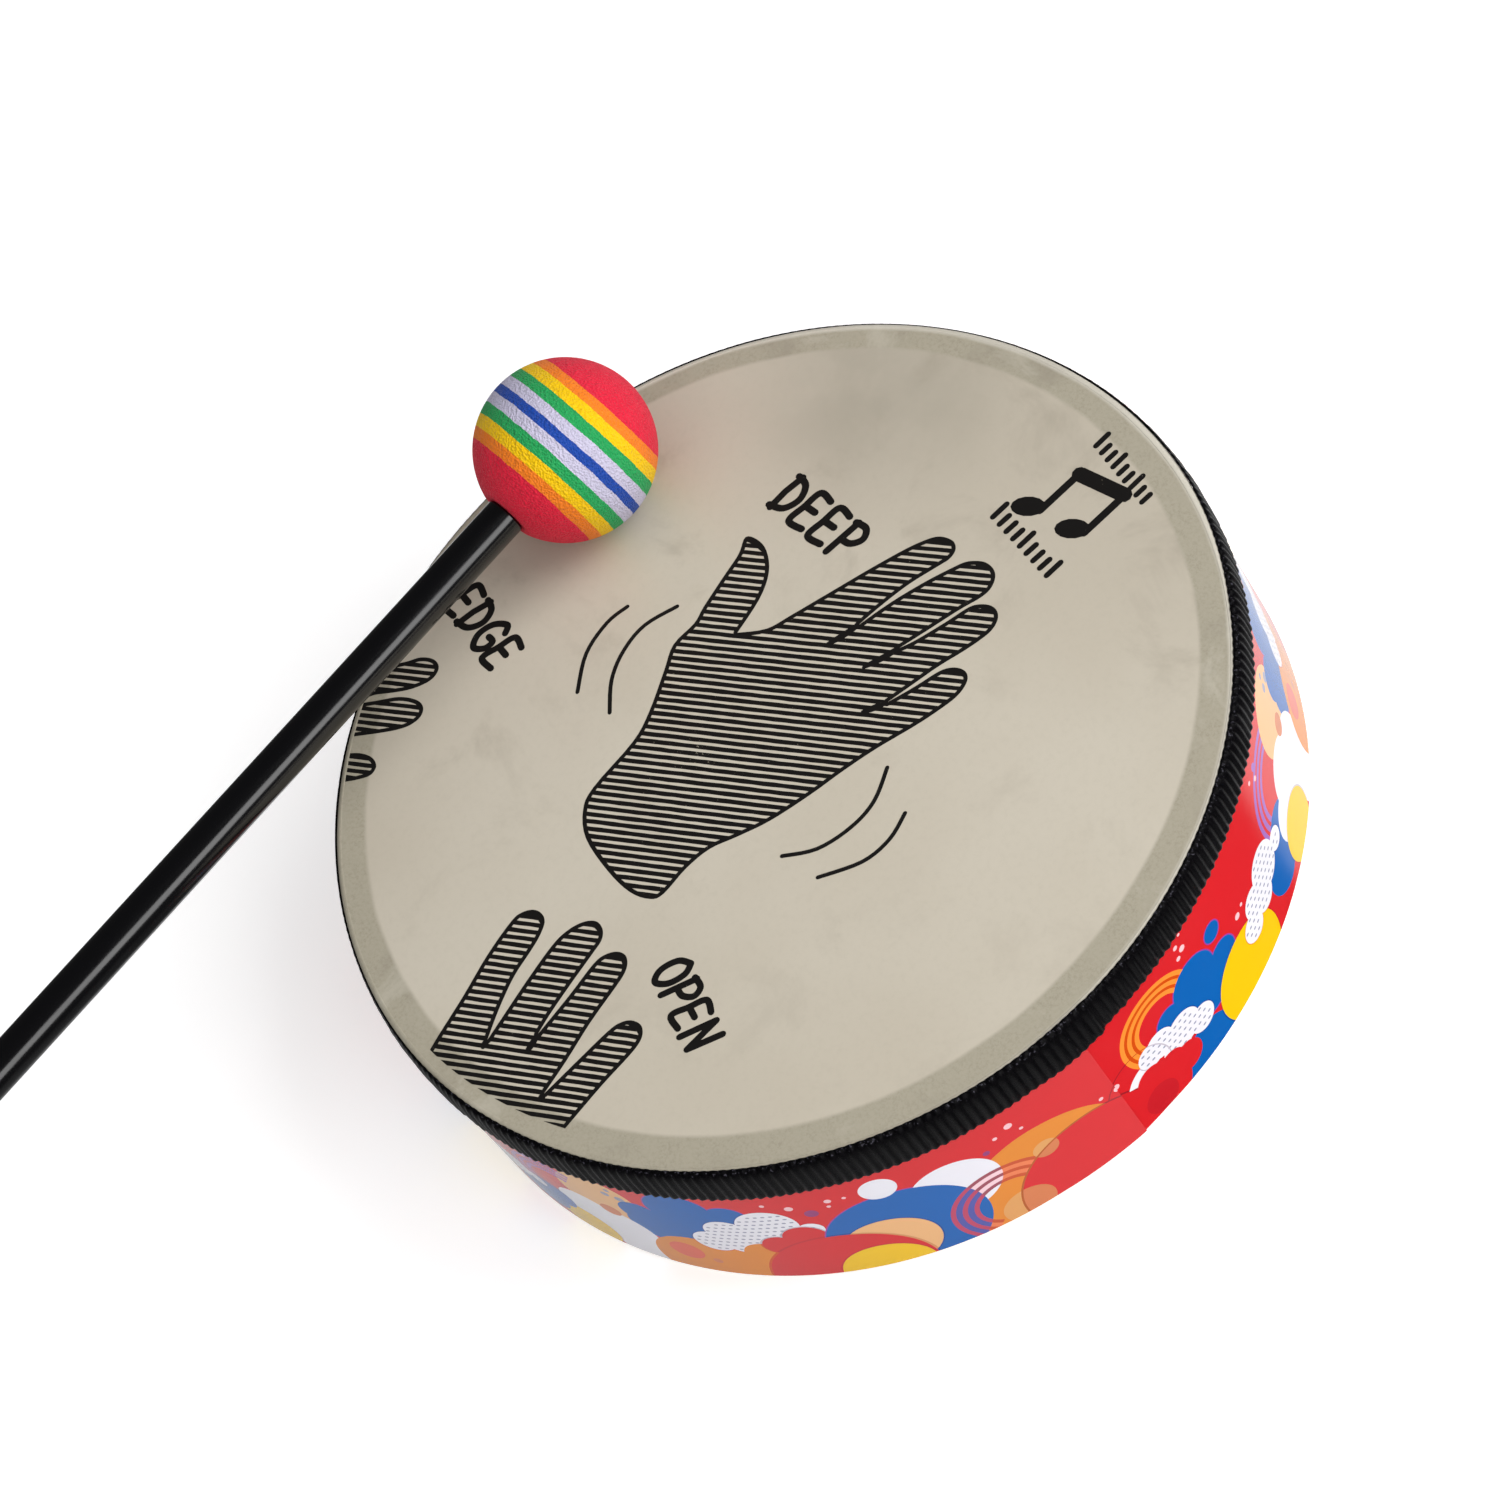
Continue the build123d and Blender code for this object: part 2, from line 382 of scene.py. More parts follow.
def curve(points, closed=False, steps=5):
    """A Catmull-Rom curve through given points. A point given twice makes a corner."""
    count = len(points)
    found = []
    for i in range(count if closed else count - 1):
        ends = [(i + k) % count if closed else min(max(i + k, 0), count - 1) for k in (-1, 0, 1, 2)]
        p0, p1, p2, p3 = (np.array(points[end], float) for end in ends)
        if np.allclose(p1, p2):
            continue
        for step in range(steps):
            t = step / steps
            square, cube = 2 * p0 - 5 * p1 + 4 * p2 - p3, 3 * p1 - p0 - 3 * p2 + p3
            found.append(tuple((2 * p1 + (p2 - p0) * t + square * t**2 + cube * t**3) / 2))
    return found if closed else found + [tuple(points[-1])]


def stroke(points, width, taper=0.0):
    """The outlines of a pen stroke along a line: a quad for each run and a disc at each point.

    With a taper, that part of its width is gone at its ends.
    """
    shapes = []
    runs = list(zip(points, points[1:]))
    total = max(1, len(runs))
    for index, (a, b) in enumerate(runs):
        length = math.dist(a, b)
        if length < 1e-6:
            continue
        across = (-(b[1] - a[1]) / length, (b[0] - a[0]) / length)

        def half(i):
            return width / 2 * (1 - taper * abs(2 * i / total - 1) ** 2)

        ha, hb = half(index), half(index + 1)
        sides = ((a, ha), (a, -ha), (b, -hb), (b, hb))
        shapes.append([(p[0] + across[0] * h, p[1] + across[1] * h) for p, h in sides])
        shapes.append(circle(a, ha, 40.0))
        if index == total - 1:
            shapes.append(circle(b, hb, 40.0))
    return shapes


def inside(outline, places):
    """The indices of the places that lie inside a closed outline."""
    ends = np.array(outline)
    near = ((places > ends.min(axis=0)) & (places < ends.max(axis=0))).all(axis=1).nonzero()[0]
    x, y = places[near, 0], places[near, 1]
    crossings = np.zeros(len(near), int)
    for (ax, ay), (bx, by) in zip(ends, np.roll(ends, -1, axis=0)):
        if ay != by:
            crossings += ((ay > y) != (by > y)) & (x < ax + (y - ay) * (bx - ax) / (by - ay))
    return near[crossings % 2 == 1]


def triangulate(shapes, lines=()):
    """Cuts a stack of outlines into triangles that cross none of them.

    Returns the points, the triangles, and for each triangle the indices of the outlines that hold it.
    """
    points, edges = [], []
    for shape in shapes:
        first, count = len(points), len(shape)
        points.extend(Vector(p) for p in shape)
        edges.extend((first + i, first + (i + 1) % count) for i in range(count))
    for a, b in lines:
        edges.append((len(points), len(points) + 1))
        points.extend((Vector(a), Vector(b)))
    flat, _, triangles, _, _, _ = delaunay_2d_cdt(points, edges, [], 0, 1e-4)
    corners = np.array(flat)[np.array(triangles)]
    holders = [[] for _ in triangles]
    for number, shape in enumerate(shapes):
        for index in inside(shape, corners.mean(axis=1)):
            holders[index].append(number)
    return flat, triangles, holders


# ---- hand outlines on the head --------------------------------------------------------------------------
INK_THICKNESS = 0.03 * MM
HATCH_PITCH = 2.1
HATCH_ANGLE = 29.5  # degrees from +X
HATCH_INK = 1.3  # width of each inked line
PEN = 1.2  # width of the pen line inside each outline
CAP = 1.75  # thickness of the solid ink at a fingertip
WEDGE = 2.0  # width of the solid ink where two fingers part

RIM_HAND_CLIP = ((-6, 0), 122.1)  # the circles where the print stops short of the rim
EDGE_FINGERS_CLIP = ((0, 0), 124.8)


def hatch_lines(low, high):
    """Slightly uneven inked bands across a box."""
    rng = random.Random(7)
    angle = math.radians(HATCH_ANGLE)
    along, across = (math.cos(angle), math.sin(angle)), (-math.sin(angle), math.cos(angle))
    corners = [(x, y) for x in (low[0], high[0]) for y in (low[1], high[1])]
    reach = [c[0] * along[0] + c[1] * along[1] for c in corners]
    depth = [c[0] * across[0] + c[1] * across[1] for c in corners]
    bands = []
    for row in range(math.floor(min(depth) / HATCH_PITCH), math.ceil(max(depth) / HATCH_PITCH) + 1):
        stations = np.arange(min(reach), max(reach) + 3.0, 3.0)
        sides = []
        for side in (-1, 1):
            edge = []
            for station in stations:
                offset = row * HATCH_PITCH + side * (HATCH_INK / 2 + rng.uniform(-0.07, 0.07))
                edge.append(tuple(station * along[k] + offset * across[k] for k in (0, 1)))
            sides.append(edge)
        bands.append(sides[0] + sides[1][::-1])
    return bands


def hatched_hand(outline, solid=(), wrist=None, clip=None):
    """The inked triangles of a hand: hatching and solid strokes inside its outline, and a pen line along it.

    A hand that runs off the print has an open outline, and wrist is the line that closes it with no pen line.
    """
    pen = stroke(outline + outline[:1] if wrist is None else outline, 2 * PEN) + list(solid)
    hand = outline + (wrist or [])
    xs, ys = [p[0] for p in hand], [p[1] for p in hand]
    bands = hatch_lines((min(xs), min(ys)), (max(xs), max(ys)))
    shapes = [hand] + bands + pen + ([clip] if clip else [])
    flat, triangles, holders = triangulate(shapes)
    inked = []
    for triangle, held in zip(triangles, holders):
        drawn = any(1 <= i <= len(bands) + len(pen) for i in held)
        in_clip = clip is None or len(shapes) - 1 in held
        if in_clip and 0 in held and drawn:
            inked.append([tuple(flat[i]) for i in triangle])
    return inked


def inked_strokes(shapes):
    """The triangles of a union of pen strokes."""
    flat, triangles, holders = triangulate(shapes)
    return [[tuple(flat[i]) for i in triangle] for triangle, held in zip(triangles, holders) if held]


# Marker letters, as pen strokes in a box 1 high. Plain words for three kinds of stroke use them.
LETTER_STEP = 0.68
LETTER_SLANT = 0.06
LETTERS = {
    "D": [
        [(0.08, 0.0), (0.05, 0.5), (0.1, 1.0)],
        [(0.0, 0.97), (0.32, 0.9), (0.5, 0.55), (0.36, 0.16), (0.0, 0.03)],
    ],
    "E": [[(0.48, 0.96), (0.1, 0.98), (0.06, 0.5), (0.05, 0.02), (0.48, 0.05)], [(0.06, 0.52), (0.4, 0.54)]],
    "G": [
        [(0.5, 0.84), (0.32, 1), (0.06, 0.72), (0.05, 0.28), (0.3, 0), (0.52, 0.2), (0.5, 0.46), (0.3, 0.46)],
    ],
    "N": [[(0.04, 0.0), (0.08, 1.0), (0.46, 0.04), (0.52, 1.0)]],
    "O": [[(0.3, 1.0), (0.06, 0.74), (0.07, 0.25), (0.32, 0.0), (0.53, 0.3), (0.5, 0.76), (0.3, 1.0)]],
    "P": [[(0.06, 0.0), (0.1, 0.98)], [(0.04, 0.95), (0.36, 0.98), (0.52, 0.74), (0.36, 0.48), (0.08, 0.44)]],
}


def written(word, place, height, angle, pen):
    """A word in marker letters, from its lower left corner."""
    shapes = []
    cos, sin = math.cos(math.radians(angle)), math.sin(math.radians(angle))
    for number, letter in enumerate(word):
        for line in LETTERS[letter]:
            points = []
            for x, y in curve(line) if len(line) > 4 else line:
                right, up = (LETTER_STEP * number + x + LETTER_SLANT * y) * height, y * height
                points.append((place[0] + right * cos - up * sin, place[1] + right * sin + up * cos))
            shapes += stroke(points, pen)
    return shapes


# The hands' outlines. A doubled point is the corner between two fingers.
OPEN_HAND = [
    (-32, 14.4), (-32, 14.4), (-34.6, 25.2), (-38.6, 32.4), (-44.2, 36.5), (-49, 37.3), (-52.5, 35.8),
    (-50.1, 31), (-48.5, 24), (-46.1, 14), (-44.5, 9), (-44.5, 1), (-40.5, -6.2), (-34.5, -17.2),
    (-31.5, -26), (-30.3, -42), (-27.4, -48.4), (-20.2, -53.5), (-8, -56.1), (2, -56.5), (8.3, -54.4),
    (10.3, -51), (9.8, -42), (10.9, -34.2), (14.4, -27.2), (18.5, -18.2), (21.9, -6.2), (23.9, 3.2),
    (26.6, 13.6), (30.4, 24.8), (32.4, 32), (33.5, 38), (32.8, 42.2), (31.1, 44.2), (28.8, 44.5),
    (26.1, 43.2), (23.9, 40.2), (21.7, 33), (18.9, 25.2), (18.9, 25.2), (21, 34.2), (22.3, 39.8),
    (23.4, 43.6), (24.8, 47.8), (26.2, 53), (26.8, 57.2), (25.9, 60.4), (23.9, 62.2), (21.2, 62.4),
    (18.5, 61), (16.4, 58.4), (14.5, 51.8), (11.6, 43), (9.5, 38.4), (9.5, 38.4), (11.8, 46), (14.7, 56),
    (17, 62.5), (17.2, 66.2), (15.7, 69.1), (13.4, 70.5), (10.3, 70.6), (7.6, 69.3), (5.4, 67.3),
    (3.6, 63.8), (0.4, 56.2), (-2.9, 46.2), (-5.2, 36.3), (-5.2, 36.3), (-4.5, 43), (-2.8, 53), (0.2, 62.6),
    (1, 65.5), (0.4, 68.2), (-1.8, 69.7), (-5, 69.2), (-7.4, 67.6), (-9.5, 64.4), (-11.7, 59.8),
    (-15.2, 50.6), (-19.9, 37), (-23.3, 27.2), (-26, 20.2),
]
OPEN_HAND_TIPS = (
    [(-7.4, 67.6), (-5, 69.2), (-1.8, 69.7)],
    [(7.7, 69.2), (10.3, 70.6), (13.4, 70.5)],
    [(18.5, 61), (21.2, 62.4), (23.9, 62.2)],
    [(26.1, 43.2), (28.8, 44.5), (31, 44.2)],
    [(-44.2, 36.5), (-49, 37.3), (-52.5, 35.8)],
)
OPEN_HAND_WEDGES = (
    [(-5.2, 36.6), (-6.2, 32.5), (-8.2, 26.7)],
    [(9.5, 39), (8, 34), (5.6, 28.6)],
    [(18.8, 25.6), (17.4, 22.4), (15.4, 19.2)],
)
RIM_HAND = [
    (-8.2, -123.2), (-9.9, -117.5), (-13, -105.8), (-16.7, -93.7), (-18.8, -83), (-18.4, -79.4),
    (-16.4, -76.8), (-13.7, -76), (-10.9, -77.1), (-8.8, -80.9), (-7.4, -85.8), (-5.6, -93.2),
    (-1.9, -101.8), (2.5, -110), (2.5, -110), (0.3, -100.5), (-1.8, -91.2), (-3.8, -80.5), (-3.7, -75.2),
    (-2.4, -71.3), (-0.4, -68.8), (1.9, -67.9), (4.6, -68.7), (6.5, -71), (7.4, -75.2), (9.3, -85.5),
    (11.2, -94.4), (12.8, -100), (12.8, -100), (11.4, -87.3), (9.9, -77.1), (10.4, -73.2), (12.5, -70.4),
    (15.2, -69.6), (17.6, -70.9), (19.2, -73.6), (20.2, -78), (22.2, -88.7), (25.2, -100.2), (27.4, -110.4),
    (27.4, -110.4), (27.7, -99), (28.1, -87.6), (29, -83.6), (31, -81.2), (33.9, -80.4), (36.2, -81.5),
    (37.7, -84), (38.3, -88.5), (38.6, -98.5), (39.5, -110), (39.9, -115),
]
RIM_HAND_TIPS = (
    [(-17.4, -78.1), (-13.7, -76), (-10.6, -77.5)],
    [(-1.4, -69.8), (1.9, -67.9), (5, -69)],
    [(11.4, -71.6), (15.2, -69.6), (18, -71.4)],
    [(30.4, -81.8), (33.9, -80.4), (36.6, -81.9)],
)
RIM_HAND_WEDGES = (
    [(2.5, -109.8), (2.8, -111.2), (3.1, -112.2)],
    [(12.7, -99.6), (13.6, -102.8), (14.2, -105.4)],
    [(27.4, -110.2), (27.6, -111.2), (27.7, -112.2)],
)
EDGE_FINGERS = (
    [
        (-117.3, -62.5), (-106.4, -50.2), (-103.2, -46), (-99.3, -44), (-96, -45), (-95.2, -49),
        (-98.4, -54.9), (-105.4, -61.8),
    ],
    [
        (-114.3, -73.6), (-104, -63.2), (-98.7, -57.8), (-93.3, -55.3), (-89.8, -56.2), (-88.8, -59.8),
        (-91.6, -65.2), (-101.7, -75.3), (-109, -82),
    ],
    [
        (-107.3, -87), (-99.1, -79.8), (-94.9, -76.4), (-90.8, -75.1), (-87.7, -76.1), (-87, -79),
        (-89.4, -82.5), (-92.7, -85.9), (-97.4, -90.4),
    ],
)
MOTION_LINES = (
    [(-64.6, 1), (-65.7, -6), (-63.4, -16), (-56.4, -25.4)],
    [(-52.6, 9.6), (-56, 0), (-55, -9), (-51, -17), (-43.8, -24)],
    [(33.4, 12), (37.8, 3), (38.3, -6), (35.4, -16), (29, -23.4)],
    [(47.4, 5.8), (49.6, -2), (48.4, -11), (41.8, -21.6)],
)


def emblem():
    """A plain mark: a pair of beamed notes between two rows of beats."""
    lines = []
    for x, y in ((7.4, 89.4), (22.6, 91.8)):
        turns = np.arange(0, 6.2, 0.45)
        lines.append([(x + 4.6 * math.cos(t), y + 3.3 * math.sin(t) + 1.6 * math.cos(t)) for t in turns])
        lines += stroke([(x + 3.7, y + 1), (x + 4.6, y + 15.6)], 2.3)
    lines += stroke([(12.0, 104.6), (27.2, 107.4)], 4.4)
    for beat in range(9):
        x = 9.5 + beat * 2.9
        lines += stroke([(x, 115.2 - 0.2 * x), (x + 0.2, 118.2 - 0.2 * x + (beat % 3 == 0) * 1.6)], 1.6)
    for beat in range(9):
        x = 1.6 + beat * 3.2
        lines += stroke([(x, 81.6 - 0.14 * x), (x + 0.3, 85.0 - 0.14 * x + (beat % 4 == 0) * 1.6)], 1.7)
    return lines


def solid_strokes(tips, wedges):
    """The solid ink of a hand: caps along its fingertips, and wedges where its fingers part."""
    strokes = [stroke(curve(tip), 2 * CAP, taper=0.5) for tip in tips]
    strokes += [stroke(curve(wedge), WEDGE, taper=0.45) for wedge in wedges]
    return [shape for shapes in strokes for shape in shapes]


def head_print():
    """The head's screen print: three hatched hands, their labels, motion lines and a plain emblem."""
    solid = solid_strokes(OPEN_HAND_TIPS, OPEN_HAND_WEDGES)
    triangles = hatched_hand(curve(OPEN_HAND, closed=True, steps=4), solid)
    solid = solid_strokes(RIM_HAND_TIPS, RIM_HAND_WEDGES)
    clip = circle(*RIM_HAND_CLIP, 2.0)
    triangles += hatched_hand(curve(RIM_HAND, steps=4), solid, wrist=[(34, -122), (12, -126)], clip=clip)
    clip = circle(*EDGE_FINGERS_CLIP, 2.0)
    for fingertip in EDGE_FINGERS:
        triangles += hatched_hand(curve(fingertip), wrist=[(-124, -90)], clip=clip)
    lines = emblem()
    lines += written("DEEP", (-54.6, 46.4), 11.8, 0, 2.1)
    lines += written("OPEN", (24.8, -68.6), 10.6, -20, 1.9)
    lines += written("EDGE", (-110.5, -31.0), 11.0, -11, 2.0)
    for line in MOTION_LINES:
        lines += stroke(curve(line), 1.2)
    return triangles + inked_strokes(lines)


def raise_flat(name, triangles, base, thickness, material):
    """A thin closed slab over a set of flat triangles, in millimetres, standing on a height in metres."""
    index, points, faces = {}, [], []
    for triangle in triangles:
        face = []
        for x, y in triangle:
            key = (round(x, 3), round(y, 3))
            if key not in index:
                index[key] = len(points)
                points.append((key[0] * MM, key[1] * MM))
            face.append(index[key])
        if len(set(face)) == 3:
            faces.append(face)
    count = len(points)
    solid = [(x, y, base + thickness) for x, y in points] + [(x, y, base) for x, y in points]
    edges = {(a, b) for f in faces for a, b in zip(f, f[1:] + f[:1])}
    walls = [(a, a + count, b + count, b) for a, b in sorted(edges) if (b, a) not in edges]
    under = [[i + count for i in f[::-1]] for f in faces]
    return make_object(name, solid, faces + walls + under, [material], smooth=False)


# ==== The wrap. Its drawing is in millimetres: x runs round the shell from the seam, and y is height ====
WRAP_R = SHELL_R + WRAP_THICKNESS
WRAP_TURN = 2 * math.pi * WRAP_R / MM
WRAP_LOW, WRAP_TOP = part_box("printed_wrap")[0].z / MM, 53.3
SEAM_ANGLE = -4.0
SHEET_THICKNESS = 0.35 * MM  # a little less than the CAD's, so that the back stays clear of the shell
REPEATS = (0, 116, 244)  # degrees round the shell at which the pattern comes again
REPEAT_GAP = 160  # where the last two leave a wider gap

WRAP_INKS = {
    "red": (203, 27, 34), "deep_red": (186, 22, 33), "vermilion": (216, 90, 62),
    "blue": (0, 90, 168), "deep_blue": (8, 66, 140), "yellow": (230, 186, 0), "amber": (214, 140, 20),
    "orange": (216, 130, 38), "tangerine": (255, 138, 46), "rust": (200, 70, 0), "peach": (226, 174, 120),
    "tan": (204, 138, 88), "white": (226, 225, 233), "grey": (186, 178, 190), "dot": (146, 148, 168),
    "violet": (150, 96, 176), "plum": (140, 52, 110), "magenta": (150, 56, 150), "mulberry": (150, 72, 86),
    "blush": (236, 200, 208), "brick": (192, 76, 36), "salmon": (222, 120, 74), "rose": (178, 64, 96),
    "indigo": (78, 82, 158), "apricot": (212, 152, 88), "terracotta": (202, 118, 72),
    "pink": (232, 186, 192), "oxblood": (150, 24, 34), "umber": (170, 84, 30),
}
# What an overprint makes of the ink under it: the shadow beside a shape, a thin dark line, an arch's lines
# and the tint between them, the blue's bleed round its edge, and a thin peach.
SHADOW = {
    "red": "deep_red", "blue": "deep_blue", "yellow": "amber", "orange": "rust", "peach": "tan",
    "white": "grey",
}
PEN_LINE = {
    "red": "oxblood", "deep_red": "oxblood", "orange": "umber", "tangerine": "umber", "white": "grey",
    "apricot": "umber", "salmon": "umber", "dot": "grey",
}
ARCH_LINE = {"blue": "rose", "white": "mulberry", "orange": "brick", "peach": "brick", "magenta": "rose"}
ARCH_TINT = {"blue": "indigo", "white": "blush", "orange": "salmon", "peach": "salmon", "magenta": "indigo"}
BLEED = {"red": "magenta", "deep_red": "magenta"}
THIN_PEACH = {
    "red": "terracotta", "orange": "apricot", "deep_red": "terracotta", "brick": "tan", "salmon": "apricot",
}


def round_from_seam(angle):
    """The drawing's x at an angle about +Z in degrees."""
    return math.radians((angle - SEAM_ANGLE) % 360) * WRAP_R / MM


class Pattern:
    """Shapes in painting order, each placed by the angle and height of its middle."""

    def __init__(self):
        self.shapes = []
        self.turn = 0

    def add(self, outline, ink):
        """Adds an outline, and again at the sheet's other end if it crosses the seam."""
        xs = [x for x, y in outline]
        for shift in (-WRAP_TURN, 0, WRAP_TURN):
            if max(xs) + shift > 0 and min(xs) + shift < WRAP_TURN:
                self.shapes.append(([(x + shift, y) for x, y in outline], ink))

    def middle(self, angle, height):
        return (round_from_seam(angle + self.turn), height)

    def discs(self, ink, *places, shadow=0.0, under=SHADOW, step=7.0):
        """Discs (angle, height, radius) in one ink: one is a ball or a hill, and several make a cloud."""
        if shadow:
            for angle, height, radius in places:
                self.add(circle(self.middle(angle, height), radius + shadow, step), under)
        for angle, height, radius in places:
            self.add(circle(self.middle(angle, height), radius, step), ink)

    def blues(self, *places, step=7.0):
        """Blue discs, with the bleed of their ink round them."""
        self.discs("blue", *places, shadow=0.35, under=BLEED, step=step)

    def flecks(self, *places):
        self.discs("pink", *places, step=30)

    def dotted_cloud(self, *places):
        """A white cloud filled with short dashes in staggered rows."""
        self.discs("white", *places, shadow=0.3)
        wide, high = 2.1, 2.2
        centres = [(*self.middle(angle, height), radius) for angle, height, radius in places]
        left, right = min(x - r for x, y, r in centres), max(x + r for x, y, r in centres)
        bottom, top = min(y - r for x, y, r in centres), max(y + r for x, y, r in centres)
        for column in range(int(left / wide), int(right / wide) + 1):
            for row in range(int(bottom / high), int(top / high) + 1):
                dot = ((column + 0.5 * (row % 2)) * wide, row * high)
                if any(math.dist(dot, (x, y)) < r - 0.9 for x, y, r in centres):
                    dash = [(dot[0] + 0.66 * x, dot[1] + 0.4 * y) for x, y in circle((0, 0), 1.0, 60.0)]
                    self.add(dash, "dot")

    def band(self, angle, height, outer, width, start, end, ink):
        """Part of a ring, between two angles in the drawing."""
        middle = self.middle(angle, height)
        self.add(arc_points(middle, outer, start, end) + arc_points(middle, outer - width, end, start), ink)

    def arches(self, angle, height, outer, start, end, ink, between=None, line=1.5, pitch=2.55):
        """Three concentric arcs, and the ink between each two."""
        for number in range(3):
            far = outer - pitch * number
            if between and number < 2:
                self.band(angle, height, far - line, pitch - line, start, end, between)
            self.band(angle, height, far, line, start, end, ink)


def wrap_pattern():
    """Balls, hills, clouds and arches, in a pattern that comes three times round the shell."""
    p = Pattern()
    for turn in REPEATS:
        p.turn = turn
        # a tall cloud and balls over an orange hill
        p.discs("peach", (-70.3, 37, 12.5))
        p.discs("dot", (-68.2, 41.6, 1.3), (-66.4, 40.3, 1.5), (-67.4, 44.6, 0.9))
        p.blues((-64.9, 33.6, 6.3), (-58.6, 40.5, 9.4), (-52.7, 38, 5.6), (-60.5, 29, 8.4))
        p.blues((-55, 33, 7), (-63.7, 26.5, 9))
        p.discs("white", (-71.8, 15.5, 13.6), (-74.6, 22, 9.9), (-69, 5, 11), (-78.5, 16, 8), step=5)
        p.discs("orange", (-60.5, 6.3, 15.6), (-54.5, 12, 9), (-53.5, 4, 8))
        p.discs("vermilion", (-62.6, 12.4, 5.0))
        p.discs("terracotta", (-59.2, 8.2, 1.4))
        p.discs("terracotta", (-70.0, 29, 3.2))
        p.discs("yellow", (-78, 6.8, 10), shadow=0.4)
        cloud = ((-48.6, 31.8, 8.6), (-54.3, 28.6, 6.4), (-57.1, 22, 5.9), (-53.5, 21.6, 5.8))
        p.dotted_cloud(*cloud, (-50.3, 25, 4.4), (-43.8, 27.6, 3.6))
        p.discs("orange", (-51.4, 14.8, 6.6))
        p.discs("red", (-45.2, 23.6, 6.2), (-48.9, 20.2, 5), shadow=0.5)
        # a blue hill between an orange one and a red one
        p.discs("orange", (-15.3, 10, 25), step=4)
        p.discs("white", (-25.7, 27.4, 12.5), step=5)
        p.discs("red", (-10, 2.6, 23.2), shadow=0.6, under=PEN_LINE, step=4)
        p.blues((-33.5, 15.5, 21.9), step=4)
        p.discs("peach", (-36.2, 11.8, 12.9), shadow=0.4, step=5)
        p.discs("red", (-42.7, -0.8, 22.9), shadow=0.7, step=4)
        p.discs("yellow", (-38.5, -0.8, 12.9), shadow=0.5, step=5)
        p.arches(-21.2, 10.6, 16.8, 38, 235, ARCH_LINE, ARCH_TINT, line=1.4, pitch=3.15)
        p.discs(THIN_PEACH, (-14.5, 23.6, 3.7), (-19.9, 4.2, 7.5))
        p.discs("white", (-33.4, 40.9, 5.1))
        p.discs("plum", (-42.3, 36.5, 1.9), (-20.4, 36, 1.0))
        p.flecks((-44.4, 40.8, 1.2), (-47.2, 43.9, 0.7), (-39.5, 41.4, 1.0), (-39.8, 38.6, 0.6))
        p.flecks((-37.5, 41.3, 0.6), (-18.6, 40, 0.7), (-16.5, 42, 1.2), (-15.4, 38, 0.6))
        # an orange arch behind a blue cloud
        p.arches(5.1, 31.6, 14.5, 22, 222, "tangerine", "rust")
        p.blues((11.3, 29.9, 8.5), (6.1, 28, 5), (16.3, 24.2, 5.6), (12, 21.5, 8.7), (7.5, 21, 6))
        p.blues((16.7, 35.9, 3.2))
        p.discs("blue", (8.4, 2.5, 11))
        p.band(0.2, 15.5, 8.1, 4.0, 75, 149, "white")
        p.dotted_cloud((1.7, 24, 4.4), (3.4, 24.3, 5.1), (6.9, 20.5, 6), (9.5, 16.1, 4.7), (5, 17, 5))
        p.discs("red", (0.2, 15.5, 5.2), (3.3, 13.6, 4.7), (5.3, 10, 5.4), (0.6, 6.7, 9.5))
        p.discs("deep_red", (0, 6.1, 5.5))
        p.band(-1, 19.3, 11.2, 0.4, -10, 155, PEN_LINE)
        p.discs("yellow", (19, 7.2, 15.1), shadow=0.4, step=5)
        # a second cloud before two blue balls
        p.arches(39, 29, 17.4, 60, 200, "violet")
        p.discs("blue", (31.5, 13, 9.0), (34.8, 19.2, 7.6))
        p.dotted_cloud((28.4, 23.6, 7.2), (24.2, 21.5, 5), (22.2, 16.1, 4.7), (32.6, 21.7, 3.4), (26, 18, 5))
        p.flecks((11.6, 47.4, 0.8), (12.3, 44.6, 1.1), (11.2, 43.1, 0.8), (12.9, 49.8, 0.5))
        p.flecks((-6.1, 27.1, 0.7), (-3.9, 25.9, 1.1), (20.9, 27.2, 1.1), (22.3, 28.1, 0.6))
        p.flecks((34, 46, 0.7), (35.4, 43, 0.8))
        p.discs("violet", (36.2, 45.8, 1.2))
    # what fills the gap between the second time and the third
    p.turn = REPEAT_GAP
    p.discs("white", (0.8, 36.5, 6.2), (-2.2, 33, 4.6))
    p.blues((2.2, 12, 12))
    p.discs("orange", (-2.6, 4, 9.5), shadow=0.4)
    p.flecks((4.4, 45, 1.0), (3.2, 47.6, 0.6))
    return p.shapes


def wrap_radius(x):
    """The sheet's radius at a distance round from its seam, in metres.

    The shell has a slight corner at its joint, and the sheet's end lies over its start there.
    """
    start_side, end_side = x, WRAP_TURN - x
    corner = 0.45 * max(0.0, 1 - start_side / 9.0) + 0.85 * max(0.0, 1 - end_side / 27.0)
    return WRAP_R + corner * MM


def on_wrap(x, y, depth=0.0):
    radius = wrap_radius(x) - depth
    angle = math.radians(SEAM_ANGLE) + x * MM / WRAP_R
    return (radius * math.cos(angle), radius * math.sin(angle), y * MM)


